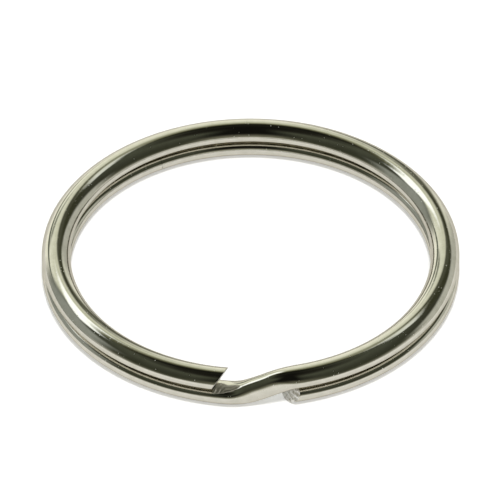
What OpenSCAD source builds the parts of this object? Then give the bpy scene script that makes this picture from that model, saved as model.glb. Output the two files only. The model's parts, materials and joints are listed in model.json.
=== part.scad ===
// Split key ring: one length of flattened spring wire wound twice round, so that the two turns
// lie on each other and each free end rests on the wire where it crosses over.
// Millimetres, +Z up. The origin is on the ring's axis, at the level of its underside, and the
// wire crosses from the lower turn to the upper turn at -Y. Angles along the wire, in degrees,
// are counted from the middle of that crossover.

/* [Ring] */
// Outside diameter of the ring
ring_od = 32; // [26:0.5:40]
// Free space between the two turns when the ring is closed
turn_gap = 0.05; // [0.03:0.01:0.12]

/* [Wire] */
// Width of the wire, measured across the ring
wire_w = 2.2; // [1.8:0.05:2.8]
// Thickness of the wire, measured along the ring's axis
wire_t = 1.45; // [1.2:0.05:1.8]
// Radius of the wire's rounded edges
edge_r = 0.5; // [0.35:0.05:0.55]
// How far the face that the turns press on swells past the rounded edges
flat_swell = 0.1; // [0.05:0.01:0.2]

/* [Crossover] */
// Angle that each half of the crossover takes up along the ring
cross_half = 10.8; // [9:0.5:14]

/* [Free ends] */
// Angle from the end of the crossover to the upper free end
upper_end_clear = 1.7; // [1:0.1:6]
// Angle that the lower free end reaches back under the rising crossover
lower_end_tuck = 2.8; // [0:0.1:3]
// Turn of the cut across the wire, towards the outside of the ring
cut_skew = 19; // [0:1:30]
// Lean of the cut, which makes the outer surface of the wire longer than the pressed one
cut_lean = 26; // [10:1:35]

/* [Spring] */
// Angle along the wire where a lifted turn parts from the other turn
flex_from = 172; // [165:1:185]

/* [Hidden] */
$fn = 96;
ring_r = (ring_od - wire_w) / 2;      // radius of the wire's centre line
pitch = wire_t + turn_gap;            // height from one turn to the next
mid_z = wire_t + turn_gap / 2;        // height of the plane between the turns
flat_t = edge_r + flat_swell;         // depth of the wire's flatter half
dome_t = wire_t - flat_t;             // depth of the wire's fuller half
upper_end_at = cross_half + upper_end_clear;
lower_end_at = cross_half - lower_end_tuck;
seated_stretches = 2;                 // lengths of each turn that stay on the other turn
flex_stretches = 5;                   // lengths of each turn that part from it
cross_steps = 28;                     // slices along the crossover
arc_steps = 6;                        // sides to each arc of a crossover slice
cut_reach = wire_w / 2 * tan(cut_skew) + wire_t * tan(cut_lean) / cos(cut_skew);
cut_room = cut_reach / ring_r * 180 / PI;   // angle of spare wire that the cut takes away
cutter = 4 * wire_w;                  // side of the block that makes the cut

// ---- the wire's section: an oval of four arcs, fuller on one side than on the other ----

// Radius of the broad arc that rises h above the widest line and runs into the edge arcs
function broad_r(h) =
    (pow(wire_w / 2 - edge_r, 2) + h * h - edge_r * edge_r) / (2 * (h - edge_r));

// Angle at which that arc meets an edge arc, seen from the broad arc's centre
function meet_at(h) = asin((wire_w / 2 - edge_r) / (broad_r(h) - edge_r));

// The oval's upper half, from its right edge to its left edge
function half_oval(h) = concat(
    [for (i = [0 : arc_steps]) let (a = (90 - meet_at(h)) * i / arc_steps)
        [wire_w / 2 - edge_r + edge_r * cos(a), edge_r * sin(a)]],
    [for (i = [1 : 2 * arc_steps]) let (a = 90 - meet_at(h) * (1 - i / arc_steps))
        [broad_r(h) * cos(a), h - broad_r(h) + broad_r(h) * sin(a)]],
    [for (i = [1 : arc_steps]) let (a = 90 + meet_at(h) + (90 - meet_at(h)) * i / arc_steps)
        [edge_r - wire_w / 2 + edge_r * cos(a), edge_r * sin(a)]]
);

// A whole oval, up above its widest line and down below it, about the middle of its thickness
function oval(up, down) =
    let (top = half_oval(up), under = half_oval(down), rise = (down - up) / 2)
    concat(
        [for (p = top) [p.x, p.y + rise]],
        [for (i = [1 : len(under) - 2]) [-under[i].x, rise - under[i].y]]
    );

// ---- the turns ----

// The same oval drawn with true arcs, dome up
module wire_section()
    translate([0, (flat_t - dome_t) / 2]) {
        for (side = [-1, 1])
            translate([side * (wire_w / 2 - edge_r), 0])
                circle(edge_r);
        intersection() {
            translate([0, dome_t - broad_r(dome_t)])
                circle(broad_r(dome_t));
            translate([0, broad_r(flat_t) - flat_t])
                circle(broad_r(flat_t));
            square([wire_w - 2 * edge_r, 2 * wire_t], center = true);
        }
    }

// A length of the upper turn between two angles from the crossover, pressed face down
module upper_wire(from, to)
    color("silver")
        translate([0, 0, mid_z + pitch / 2])
            rotate_extrude(angle = to - from, start = from - 90)
                translate([ring_r, 0])
                    wire_section();

// The lower turn is the upper turn, turned over about the line through the crossover
module turned_over()
    translate([0, 0, 2 * mid_z])
        rotate([0, 180, 0])
            children();

// A free end of the upper turn, cut off on the slant
module cut_wire(from, to)
    color("silver")
        difference() {
            upper_wire(from, to + cut_room);
            rotate([0, 0, to - 90])
                translate([ring_r, 0, mid_z + pitch / 2])
                    rotate([0, 0, 90])
                        rotate([0, cut_lean, -cut_skew])
                            translate([0, -cutter / 2, -cutter / 2])
                                cube(cutter);
        }

// Angles at which the lengths of a turn begin, for a turn whose wire ends at the given angle
function seated_at(i) =
    cross_half + (flex_from - cross_half) * i / seated_stretches;
function flex_at(i, end_at) =
    flex_from + (360 - end_at - flex_from) * i / flex_stretches;

module seated(i) upper_wire(seated_at(i), seated_at(i + 1));
module flexing(i, end_at) upper_wire(flex_at(i, end_at), flex_at(i + 1, end_at));
module free_end(end_at) cut_wire(flex_at(flex_stretches - 1, end_at), 360 - end_at);

module upper_turn_1() seated(0);
module upper_turn_2() seated(1);
module upper_turn_3() flexing(0, upper_end_at);
module upper_turn_4() flexing(1, upper_end_at);
module upper_turn_5() flexing(2, upper_end_at);
module upper_turn_6() flexing(3, upper_end_at);
module upper_free_end() free_end(upper_end_at);

module lower_turn_1() turned_over() seated(0);
module lower_turn_2() turned_over() seated(1);
module lower_turn_3() turned_over() flexing(0, lower_end_at);
module lower_turn_4() turned_over() flexing(1, lower_end_at);
module lower_turn_5() turned_over() flexing(2, lower_end_at);
module lower_turn_6() turned_over() flexing(3, lower_end_at);
module lower_free_end() turned_over() free_end(lower_end_at);

// ---- the crossover: the wire climbs from the lower turn to the upper one ----

// Height of the wire's middle and the way it climbs, at t from -1 (lower) to 1 (upper)
function climb(t) = mid_z + pitch / 2 * (3 * t - t * t * t) / 2;
function climb_slope(t) =
    pitch / 2 * (3 - 3 * t * t) / 2 / (ring_r * cross_half * PI / 180);

// The flatter half of the wire changes sides as it climbs
function up_t(t) = flat_t + (dome_t - flat_t) * (climb(t) - climb(-1)) / pitch;

// One slice of the crossover, square to the way the wire runs
function slice(t) =
    let (
        a = cross_half * t - 90,
        out = [cos(a), sin(a), 0],
        lean = atan(climb_slope(t)),
        up = [sin(a) * sin(lean), -cos(a) * sin(lean), cos(lean)],
        centre = [ring_r * cos(a), ring_r * sin(a), climb(t)]
    )
    [for (p = oval(up_t(t), wire_t - up_t(t))) centre + out * p.x + up * p.y];

module crossover()
    color("silver") {
        slices = [for (i = [0 : cross_steps]) slice(2 * i / cross_steps - 1)];
        sides = len(slices[0]);
        polyhedron(
            points = [for (s = slices) each s],
            faces = concat(
                [[for (k = [0 : sides - 1]) k]],
                [for (i = [0 : cross_steps - 1], k = [0 : sides - 1])
                    let (n = (k + 1) % sides, low = i * sides, high = low + sides)
                    each [[low + k, high + n, low + n], [low + k, high + k, high + n]]],
                [[for (k = [sides - 1 : -1 : 0]) cross_steps * sides + k]]
            )
        );
    }

crossover();
upper_turn_1();
upper_turn_2();
upper_turn_3();
upper_turn_4();
upper_turn_5();
upper_turn_6();
upper_free_end();
lower_turn_1();
lower_turn_2();
lower_turn_3();
lower_turn_4();
lower_turn_5();
lower_turn_6();
lower_free_end();
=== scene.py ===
import json
import math
import bpy
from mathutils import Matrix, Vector


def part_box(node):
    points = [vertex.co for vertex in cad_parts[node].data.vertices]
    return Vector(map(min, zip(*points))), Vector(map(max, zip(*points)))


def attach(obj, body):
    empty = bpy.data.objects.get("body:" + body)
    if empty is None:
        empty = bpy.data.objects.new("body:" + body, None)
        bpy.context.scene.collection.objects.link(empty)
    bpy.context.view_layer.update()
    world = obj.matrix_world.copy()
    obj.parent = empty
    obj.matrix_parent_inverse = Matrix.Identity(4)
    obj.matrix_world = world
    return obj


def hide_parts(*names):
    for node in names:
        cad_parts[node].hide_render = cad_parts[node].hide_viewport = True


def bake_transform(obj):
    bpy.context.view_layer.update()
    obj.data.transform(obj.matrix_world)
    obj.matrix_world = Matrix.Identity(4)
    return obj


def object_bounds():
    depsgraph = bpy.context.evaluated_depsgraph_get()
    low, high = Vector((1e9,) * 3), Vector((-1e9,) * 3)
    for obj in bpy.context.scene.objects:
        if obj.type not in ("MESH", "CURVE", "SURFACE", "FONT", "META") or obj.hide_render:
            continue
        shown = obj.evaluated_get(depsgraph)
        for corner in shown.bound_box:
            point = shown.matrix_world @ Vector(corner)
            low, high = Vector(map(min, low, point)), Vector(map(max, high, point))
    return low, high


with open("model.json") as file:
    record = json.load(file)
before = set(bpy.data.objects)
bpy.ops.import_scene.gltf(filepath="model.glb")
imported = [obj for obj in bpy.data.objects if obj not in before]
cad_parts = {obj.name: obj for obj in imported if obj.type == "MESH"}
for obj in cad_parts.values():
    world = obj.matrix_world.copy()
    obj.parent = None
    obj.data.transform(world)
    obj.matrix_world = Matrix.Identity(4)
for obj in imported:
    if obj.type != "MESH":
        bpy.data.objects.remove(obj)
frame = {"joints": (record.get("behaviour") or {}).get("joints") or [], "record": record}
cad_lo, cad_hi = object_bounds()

MM = 0.001


# ---- the camera ----
# It looks down on the ring from in front, from far enough off that the turns keep their shape.

ring_middle = Vector((0, 0, (cad_lo.z + cad_hi.z) / 2))
camera_height = math.radians(40)
camera_away = 1.50
seen_width = 38.3 * MM
camera_turn = math.radians(-3.65)      # the crossover stands a little right of the middle

camera_data = bpy.data.cameras.new("camera")
camera_data.sensor_width = 36
camera_data.lens = camera_data.sensor_width * camera_away / seen_width
camera_data.clip_start, camera_data.clip_end = 0.1, 10
camera = bpy.data.objects.new("camera", camera_data)
bpy.context.scene.collection.objects.link(camera)
bpy.context.scene.camera = camera
towards_camera = Vector((
    math.sin(camera_turn) * math.cos(camera_height),
    -math.cos(camera_turn) * math.cos(camera_height),
    math.sin(camera_height),
))
camera.location = ring_middle + towards_camera * camera_away
camera.rotation_euler = (-towards_camera).to_track_quat("-Z", "Y").to_euler()
camera_data.shift_x = -0.0012
camera_data.shift_y = 0.0216

bpy.context.scene.view_settings.view_transform = "Standard"


# ---- the table top and the light over it ----
# A sheet of white acrylic that glows a little from below, under one small soft lamp.
# The lamp leans forward, so that the ring's shadow falls mostly behind it.

TABLE_SIZE = 6.0

table_white = bpy.data.materials.new("white_table")
table_white.use_nodes = True
white = table_white.node_tree.nodes["Principled BSDF"]
white.inputs["Base Color"].default_value = (0.8, 0.8, 0.8, 1)
white.inputs["Roughness"].default_value = 0.9
white.inputs["Specular IOR Level"].default_value = 0.0
white.inputs["Emission Color"].default_value = (1, 1, 1, 1)
white.inputs["Emission Strength"].default_value = 0.37

bpy.ops.object.select_all(action="DESELECT")
bpy.ops.mesh.primitive_plane_add(size=TABLE_SIZE, location=(0, 0, cad_lo.z))
table = bpy.context.active_object
table.name = "table_top"
table.data.materials.append(table_white)

overhead_data = bpy.data.lights.new("overhead", "SUN")
overhead_data.energy = 2.35
overhead_data.angle = math.radians(12)
overhead = bpy.data.objects.new("overhead", overhead_data)
bpy.context.scene.collection.objects.link(overhead)
overhead.rotation_euler.x = math.radians(25)
overhead.visible_glossy = False


# ---- the walls ----
# They are pale low down and dark above, with soft panels of light and shade on them, so that the
# polished wire has something light and something dark to mirror. Bearings are in degrees from the
# back wall, positive to the right, and heights are in degrees above the table.

studio = bpy.data.worlds.new("studio")
studio.use_nodes = True
bpy.context.scene.world = studio
nodes, links = studio.node_tree.nodes, studio.node_tree.links
nodes.clear()
world_out = nodes.new("ShaderNodeOutputWorld")
wall_light = nodes.new("ShaderNodeBackground")
links.new(wall_light.outputs["Background"], world_out.inputs["Surface"])
looking = nodes.new("ShaderNodeTexCoord")
split = nodes.new("ShaderNodeSeparateXYZ")
links.new(looking.outputs["Generated"], split.inputs["Vector"])


def math_node(operation, first, second=None):
    node = nodes.new("ShaderNodeMath")
    node.operation = operation
    for socket, value in zip(node.inputs, (first, second)):
        if isinstance(value, (int, float)):
            socket.default_value = value
        elif value is not None:
            links.new(value, socket)
    return node.outputs[0]


def soft_edge(value, inside, outside):
    """1 where value is under inside, 0 where it is over outside."""
    node = nodes.new("ShaderNodeMapRange")
    node.interpolation_type = "SMOOTHSTEP"
    links.new(value, node.inputs["Value"])
    node.inputs["From Min"].default_value = inside
    node.inputs["From Max"].default_value = outside
    node.inputs["To Min"].default_value = 1
    node.inputs["To Max"].default_value = 0
    return node.outputs["Result"]


bearing = math_node("MULTIPLY", math_node("ARCTAN2", split.outputs["X"], split.outputs["Y"]),
                    180 / math.pi)
height = math_node("MULTIPLY", math_node("ARCSINE", split.outputs["Z"]), 180 / math.pi)


def wall_from_floor_up(*stops):
    """The colour of a wall at each height, from (degrees, red, green, blue) stops."""
    ramp = nodes.new("ShaderNodeValToRGB")
    links.new(math_node("MULTIPLY", height, 1 / 90), ramp.inputs["Fac"])
    places = ramp.color_ramp.elements
    while len(places) < len(stops):
        places.new(0.5)
    for place, (degrees, *colour) in zip(places, stops):
        place.position = degrees / 90
        place.color = (*colour, 1)
    return ramp.outputs["Color"]


def in_panel(at_bearing, at_height, half_width, half_height, soft, lean=0.0):
    """How far a direction is inside a soft-edged panel, which leans sideways as it rises."""
    rise = math_node("SUBTRACT", height, at_height)
    off = math_node("SUBTRACT", bearing, at_bearing)
    off = math_node("SUBTRACT", off, math_node("MULTIPLY", rise, lean))
    off = math_node("SUBTRACT", math_node("FLOORED_MODULO", math_node("ADD", off, 180), 360), 180)
    return math_node(
        "MULTIPLY",
        soft_edge(math_node("ABSOLUTE", off), half_width - soft, half_width + soft),
        soft_edge(math_node("ABSOLUTE", rise), half_height - soft / 2, half_height + soft / 2),
    )


def lay_over(under, cover, colour, strength=1.0):
    """One wall colour over another, as far as cover says."""
    mix = nodes.new("ShaderNodeMix")
    mix.data_type = "RGBA"
    links.new(math_node("MULTIPLY", cover, strength), mix.inputs["Factor"])
    links.new(under, mix.inputs["A"])
    if isinstance(colour, tuple):
        mix.inputs["B"].default_value = (*colour, 1)
    else:
        links.new(colour, mix.inputs["B"])
    return mix.outputs["Result"]


room = wall_from_floor_up(
    (0, 1.12, 1.12, 1.08), (7, 1.00, 1.01, 0.97), (11, 0.50, 0.50, 0.44), (18, 0.13, 0.135, 0.10),
    (26, 0.055, 0.06, 0.038), (42, 0.065, 0.07, 0.05), (62, 0.10, 0.11, 0.08),
    (74, 0.025, 0.025, 0.018), (84, 0.010, 0.010, 0.008))
behind_camera = wall_from_floor_up(
    (0, 1.12, 1.12, 1.08), (8, 0.96, 0.97, 0.92), (15, 0.48, 0.49, 0.42), (22, 0.25, 0.25, 0.19),
    (29, 0.17, 0.17, 0.13), (37, 0.05, 0.05, 0.035), (44, 0.010, 0.010, 0.008))
back_wall = wall_from_floor_up(
    (0, 1.50, 1.52, 1.43), (14, 1.48, 1.51, 1.36), (24, 1.32, 1.36, 1.20), (36, 1.10, 1.14, 0.98),
    (45, 0.84, 0.87, 0.70), (54, 0.30, 0.31, 0.20), (61, 0.05, 0.05, 0.03),
    (68, 0.010, 0.010, 0.008))
wall = lay_over(room, in_panel(180, 40, 28, 60, 14), behind_camera)
# The pale walls on the left and on the right
wall = lay_over(wall, in_panel(-70, 16, 24, 24, 12), (0.42, 0.45, 0.42))
wall = lay_over(wall, in_panel(56, 10, 32, 18, 12), (0.70, 0.72, 0.66))
# The lit back wall, and the dark gap along its left side
wall = lay_over(wall, in_panel(-6, 26, 36, 48, 8), back_wall)
wall = lay_over(wall, in_panel(-28, 18, 9, 7, 4, -1.8), (0.10, 0.12, 0.09), 0.92)
wall = lay_over(wall, in_panel(-18, 27, 6, 4, 4, 1.5), (0.16, 0.18, 0.14), 0.8)
# The dark flag on the right, and its wide top
wall = lay_over(wall, in_panel(17, 15, 7, 20, 5, 0.2), (0.075, 0.080, 0.045), 0.93)
wall = lay_over(wall, in_panel(30, 38, 22, 10, 6), (0.060, 0.064, 0.036), 0.94)
# The softboxes on the left and on the right
wall = lay_over(wall, in_panel(-36, 47, 24, 6, 6), (1.95, 2.05, 2.08))
wall = lay_over(wall, in_panel(36, 53, 14, 4, 5), (1.10, 1.16, 1.10))
links.new(wall, wall_light.inputs["Color"])


# ---- the wire ----
# One length of spring-steel wire, drawn round, rolled to a rounded oval and coiled in two close
# turns, then nickel plated and polished. The faces that the turns press on are the flatter ones.

wire_w = 2.2 * MM
edge_r = 0.5 * MM
flat_t = 0.6 * MM
cross_half = 10.8                      # degrees that each half of the crossover takes up
cross_wire = 1.85 * MM                 # the wire's diameter where it keeps its round section
rounding = 0.8                         # share of each half in which it turns round

upper_lo, upper_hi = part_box("upper_turn_2")
lower_lo, lower_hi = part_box("lower_turn_2")
wire_t = upper_hi.z - upper_lo.z
pitch = upper_lo.z - lower_lo.z
mid_z = (upper_lo.z + lower_hi.z) / 2
ring_r = cad_hi.x - wire_w / 2
dome_t = wire_t - flat_t

EDGE_SIDES = 12                        # sides to a quarter of the wire's edge
BROAD_SIDES = 24                       # sides to the broad arc of one face
AROUND = 2 * (2 * EDGE_SIDES + BROAD_SIDES)
STEP = 0.6                             # degrees between slices along the wire
SMOOTH_UNDER = math.radians(35)


def half_oval(share, rise):
    """Point on the oval's upper half, share 0 at its outer edge to 1 at its inner edge."""
    broad_r = ((wire_w / 2 - edge_r) ** 2 + rise ** 2 - edge_r ** 2) / (2 * (rise - edge_r))
    meet = math.asin((wire_w / 2 - edge_r) / (broad_r - edge_r))
    place = share * (2 * EDGE_SIDES + BROAD_SIDES)
    edge_turn = math.pi / 2 - meet
    if place <= EDGE_SIDES:
        a = edge_turn * place / EDGE_SIDES
        return wire_w / 2 - edge_r + edge_r * math.cos(a), edge_r * math.sin(a)
    if place < EDGE_SIDES + BROAD_SIDES:
        a = edge_turn + 2 * meet * (place - EDGE_SIDES) / BROAD_SIDES
        return broad_r * math.cos(a), rise - broad_r + broad_r * math.sin(a)
    a = edge_turn + 2 * meet + edge_turn * (place - EDGE_SIDES - BROAD_SIDES) / EDGE_SIDES
    return edge_r - wire_w / 2 + edge_r * math.cos(a), edge_r * math.sin(a)


def oval(share, up):
    """Point on the wire's oval section, about its middle; up is the depth of the upper half."""
    down = wire_t - up
    drop = (down - up) / 2
    if share <= 0.5:
        p, q = half_oval(share * 2, up)
        return p, q + drop
    p, q = half_oval(share * 2 - 1, down)
    return -p, drop - q


def wire_point(along, share):
    """Place on the wire's surface, along in degrees from the middle of the crossover."""
    t = max(-1.0, min(1.0, along / cross_half))
    climbed = (3 * t - t ** 3) / 2
    slope = pitch / 2 * (3 - 3 * t * t) / 2 / (ring_r * math.radians(cross_half))
    up_t = flat_t + (dome_t - flat_t) * (climbed + 1) / 2
    p, q = oval(share, up_t)
    near = min(1, (1 - abs(t)) / rounding)
    round_share = near * near * (3 - 2 * near)
    p += (math.cos(share * 2 * math.pi) * cross_wire / 2 - p) * round_share
    q += (math.sin(share * 2 * math.pi) * cross_wire / 2 - q) * round_share
    a = math.radians(along - 90)
    lean = math.atan(slope)
    out = Vector((math.cos(a), math.sin(a), 0))
    up = Vector((math.sin(a) * math.sin(lean), -math.cos(a) * math.sin(lean), math.cos(lean)))
    centre = Vector((ring_r * math.cos(a), ring_r * math.sin(a), mid_z + pitch / 2 * climbed))
    return centre + out * p + up * q


def wind_wire(name, start, end):
    """A closed length of wire, from a ring of points turned about the key ring's axis."""
    bpy.ops.object.select_all(action="DESELECT")
    bpy.ops.mesh.primitive_circle_add(vertices=AROUND, radius=wire_w / 2)
    piece = bpy.context.active_object
    piece.name = name
    share = piece.data.attributes.new("around", "FLOAT", "POINT")
    share.data.foreach_set("value", [i / AROUND for i in range(AROUND)])
    for i, vertex in enumerate(piece.data.vertices):
        vertex.co = wire_point(start, i / AROUND)
    bpy.ops.object.mode_set(mode="EDIT")
    bpy.ops.mesh.select_all(action="SELECT")
    bpy.ops.mesh.spin(
        steps=max(8, round((end - start) / STEP)),
        angle=-math.radians(end - start),
        center=(0, 0, 0),
        axis=(0, 0, 1),
    )
    bpy.ops.mesh.select_all(action="SELECT")
    bpy.ops.mesh.fill_holes(sides=0)
    bpy.ops.mesh.select_all(action="SELECT")
    bpy.ops.mesh.normals_make_consistent(inside=False)
    bpy.ops.object.mode_set(mode="OBJECT")
    shares = [d.value for d in piece.data.attributes["around"].data]
    middle = (start + end) / 2
    for vertex, here in zip(piece.data.vertices, shares):
        turned = math.degrees(math.atan2(vertex.co.y, vertex.co.x)) + 90
        along = middle + (turned - middle + 180) % 360 - 180
        vertex.co = wire_point(along, here)
    return piece


def metal_nodes(name):
    """A new material, its shader, its links, and a way to add nodes to it.

    An input is given by its name, or by its number after an i.
    """
    made = bpy.data.materials.new(name)
    made.use_nodes = True
    tree = made.node_tree

    def add(kind, settings=(), **inputs):
        node = tree.nodes.new("ShaderNode" + kind)
        for key, value in dict(settings).items():
            setattr(node, key, value)
        for key, value in inputs.items():
            socket = node.inputs[int(key[1:]) if key[0] == "i" else key]
            if isinstance(value, bpy.types.NodeSocket):
                tree.links.new(value, socket)
            else:
                socket.default_value = value
        return node

    return made, tree.nodes["Principled BSDF"], tree.links, add


def nickel():
    """Bright nickel plate: cloudy in patches, drawn lengthwise, with fine specks and pits."""
    made, shader, join, add = metal_nodes("nickel_plate")
    place = add("TexCoord").outputs["Object"]
    axes = add("SeparateXYZ", Vector=place).outputs
    radius = add("VectorMath", {"operation": "LENGTH"}, Vector=add(
        "CombineXYZ", X=axes["X"], Y=axes["Y"]).outputs["Vector"]).outputs["Value"]

    def scaled(value, factor):
        return add("Math", {"operation": "MULTIPLY"}, i0=value, i1=factor).outputs[0]

    clouds = add("TexNoise", Vector=place, Scale=1300.0, Detail=4.0, Roughness=0.6).outputs["Fac"]
    lengthwise = add("CombineXYZ", X=scaled(radius, 9000.0), Y=scaled(axes["Z"], 9000.0),
                     Z=scaled(axes["X"], 320.0)).outputs["Vector"]
    drawn = add("TexNoise", {"noise_dimensions": "4D"}, Vector=lengthwise,
                W=scaled(axes["Y"], 320.0), Scale=1.0, Detail=3.0).outputs["Fac"]
    cells = add("TexVoronoi", Vector=place, Scale=5200.0, Randomness=1.0)
    dot = add("MapRange", {"interpolation_type": "SMOOTHSTEP"}, Value=cells.outputs["Distance"],
              i1=0.08, i2=0.24, i3=1.0, i4=0.0).outputs["Result"]
    lot = add("SeparateColor", Color=cells.outputs["Color"]).outputs["Red"]
    chosen = add("Math", {"operation": "GREATER_THAN"}, i0=lot, i1=0.86).outputs[0]
    speck = add("Math", {"operation": "MULTIPLY"}, i0=dot, i1=chosen).outputs[0]

    tone = add("Mix", {"data_type": "RGBA"})
    join.new(add("MapRange", Value=clouds, i1=0.3, i2=0.7).outputs["Result"], tone.inputs["Factor"])
    tone.inputs["A"].default_value = (0.520, 0.500, 0.430, 1)
    tone.inputs["B"].default_value = (0.590, 0.566, 0.500, 1)
    flecked = add("Mix", {"data_type": "RGBA"})
    join.new(speck, flecked.inputs["Factor"])
    join.new(tone.outputs["Result"], flecked.inputs["A"])
    flecked.inputs["B"].default_value = (0.66, 0.66, 0.60, 1)
    join.new(flecked.outputs["Result"], shader.inputs["Base Color"])

    sheen = add("MapRange", Value=clouds, i1=0.3, i2=0.7, i3=0.045, i4=0.085).outputs["Result"]
    rough = add("Math", {"operation": "MULTIPLY_ADD"}, i0=speck, i1=0.26, i2=sheen).outputs[0]
    join.new(rough, shader.inputs["Roughness"])

    lines = add("Bump", Strength=0.10, Distance=0.00001, Height=drawn).outputs["Normal"]
    pits = add("Bump", Strength=0.35, Distance=0.000008, Height=clouds, Normal=lines)
    dents = add("Bump", Strength=0.6, Distance=0.00001, Height=speck, Normal=pits.outputs["Normal"])
    join.new(dents.outputs["Normal"], shader.inputs["Normal"])
    shader.inputs["Metallic"].default_value = 1
    shader.inputs["Specular Tint"].default_value = (0.62, 0.60, 0.55, 1)
    return made


wire_finish = nickel()


def finish_wire(piece):
    """Plate a length of wire and smooth it."""
    piece.data.materials.append(wire_finish)
    bpy.ops.object.select_all(action="DESELECT")
    piece.select_set(True)
    bpy.context.view_layer.objects.active = piece
    bpy.ops.object.shade_smooth_by_angle(angle=SMOOTH_UNDER)


# ---- the seated half of each turn, and the crossover between them ----
# One unbroken stretch of the wire that never parts: half the lower turn, the climb at the front
# and half the upper turn.

joints = {j["name"]: j for j in frame["joints"]}


def along_at(joint, side):
    """Angle along the wire of a joint's place, positive up the upper turn."""
    x, y = joint["pos_m"][0], joint["pos_m"][1]
    turned = (math.degrees(math.atan2(y, x)) + 90) % 360
    return turned if side > 0 else turned - 360


chains = {}
for side, names in (
    (1, ["upper_end_lift", "upper_flex_4", "upper_flex_5", "upper_flex_6", "upper_end_flex"]),
    (-1, ["lower_end_drop", "lower_flex_4", "lower_flex_5", "lower_flex_6", "lower_end_flex"]),
):
    chains[side] = [(along_at(joints[n], side), joints[n]) for n in names]

half_length = (chains[1][1][0] - chains[1][0][0]) / 2
seated = wind_wire("seated_wire", chains[-1][0][0] + half_length, chains[1][0][0] - half_length)
finish_wire(seated)
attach(seated, "crossover")
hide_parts("crossover", "upper_turn_1", "upper_turn_2", "lower_turn_1", "lower_turn_2")


# ---- the halves that lift and drop ----
# The rest of each turn is bare spring that can bend away from the other turn; here it is wound as
# short fixed lengths, one at each of its bends. It ends in a shear cut that slants across the wire,
# longer on the outer face, with a grainy end and a worn rim.

upper_end = 360 - 12.5                 # degrees along the wire
lower_end = -360 + 8.0
spare_wire = 6                         # degrees of wire past each end, for the shear to take off
cut_skew = math.radians(19)
cut_lean = math.radians(26)
RIM = 0.09 * MM                        # how far the cut's rim is worn round
SLIVER = 0.012 * MM                    # points that the cut leaves closer than this are merged
CUT_TOLERANCE = 1e-7
SAME_WAY = 0.999                       # cosines that tell the cut face, and it with its rim
NEARLY_SAME_WAY = 0.97


def sheared():
    """The face that the shear leaves: plated over, grainy, with a fine step here and there."""
    made, shader, join, add = metal_nodes("sheared_end")
    place = add("TexCoord").outputs["Object"]
    grain = add("TexNoise", Vector=place, Scale=6500.0, Detail=5.0, Roughness=0.7).outputs["Fac"]
    tears = add("TexWave", {"bands_direction": "Z"}, Vector=place, Scale=900.0, Distortion=6.0,
                Detail=3.0).outputs["Fac"]
    tone = add("Mix", {"data_type": "RGBA"})
    join.new(add("MapRange", Value=grain, i1=0.38, i2=0.55).outputs["Result"], tone.inputs["Factor"])
    tone.inputs["A"].default_value = (0.46, 0.44, 0.40, 1)
    tone.inputs["B"].default_value = (0.78, 0.77, 0.74, 1)
    join.new(tone.outputs["Result"], shader.inputs["Base Color"])
    shader.inputs["Metallic"].default_value = 1
    join.new(add("MapRange", Value=grain, i3=0.24, i4=0.50).outputs["Result"],
             shader.inputs["Roughness"])
    coarse = add("Bump", Strength=0.7, Distance=0.00006, Height=tears).outputs["Normal"]
    fine = add("Bump", Strength=0.6, Distance=0.00004, Height=grain, Normal=coarse)
    join.new(fine.outputs["Normal"], shader.inputs["Normal"])
    return made


end_finish = sheared()


def wire_centre(along, side):
    """Place on the centre line of the upper turn (side 1) or the lower turn (side -1)."""
    a = math.radians(along - 90)
    return Vector((ring_r * math.cos(a), ring_r * math.sin(a), mid_z + side * pitch / 2))


def cut_end(piece, end, side):
    """Shear the wire off on the slant, wear the rim and grain the face."""
    a = math.radians(end - 90)
    out = Vector((math.cos(a), math.sin(a), 0))
    forward = Vector((-math.sin(a), math.cos(a), 0)) * side
    up = Vector((0, 0, side))
    normal = (
        forward * math.cos(cut_lean) * math.cos(cut_skew)
        + out * math.cos(cut_lean) * math.sin(cut_skew)
        - up * math.sin(cut_lean)
    )
    place = wire_centre(end, side)
    bpy.ops.object.select_all(action="DESELECT")
    piece.select_set(True)
    bpy.context.view_layer.objects.active = piece
    bpy.ops.object.mode_set(mode="EDIT")
    bpy.ops.mesh.select_all(action="SELECT")
    bpy.ops.mesh.bisect(
        plane_co=place, plane_no=normal, use_fill=True, clear_outer=True, threshold=CUT_TOLERANCE)
    bpy.ops.mesh.select_all(action="SELECT")
    bpy.ops.mesh.remove_doubles(threshold=SLIVER)
    bpy.ops.mesh.select_all(action="DESELECT")
    bpy.ops.object.mode_set(mode="OBJECT")
    for face in piece.data.polygons:
        face.select = face.normal.dot(normal) > SAME_WAY and len(face.vertices) > 8
    bpy.ops.object.mode_set(mode="EDIT")
    bpy.ops.mesh.region_to_loop()
    bpy.ops.mesh.bevel(offset=RIM, segments=3, affect="EDGES", clamp_overlap=True)
    bpy.ops.object.mode_set(mode="OBJECT")
    piece.data.materials.append(end_finish)
    for face in piece.data.polygons:
        if face.normal.dot(normal) > NEARLY_SAME_WAY and (face.center - place).length < wire_w:
            face.material_index = 1
    bpy.ops.object.shade_smooth_by_angle(angle=SMOOTH_UNDER)


for side, label, end in ((1, "upper", upper_end), (-1, "lower", lower_end)):
    chain = chains[side]
    half = abs(chain[1][0] - chain[0][0]) / 2
    for i, (at, joint) in enumerate(chain):
        last = i == len(chain) - 1
        bend_from, bend_to = at - side * half, at + side * half
        wire_to = end + side * spare_wire if last else bend_to
        piece = wind_wire(f"{label}_bend_{i + 1}", min(bend_from, wire_to), max(bend_from, wire_to))
        finish_wire(piece)
        if last:
            cut_end(piece, end, side)
        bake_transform(piece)
        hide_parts(frame["record"]["behaviour"]["bodies"][joint["child"]][0])
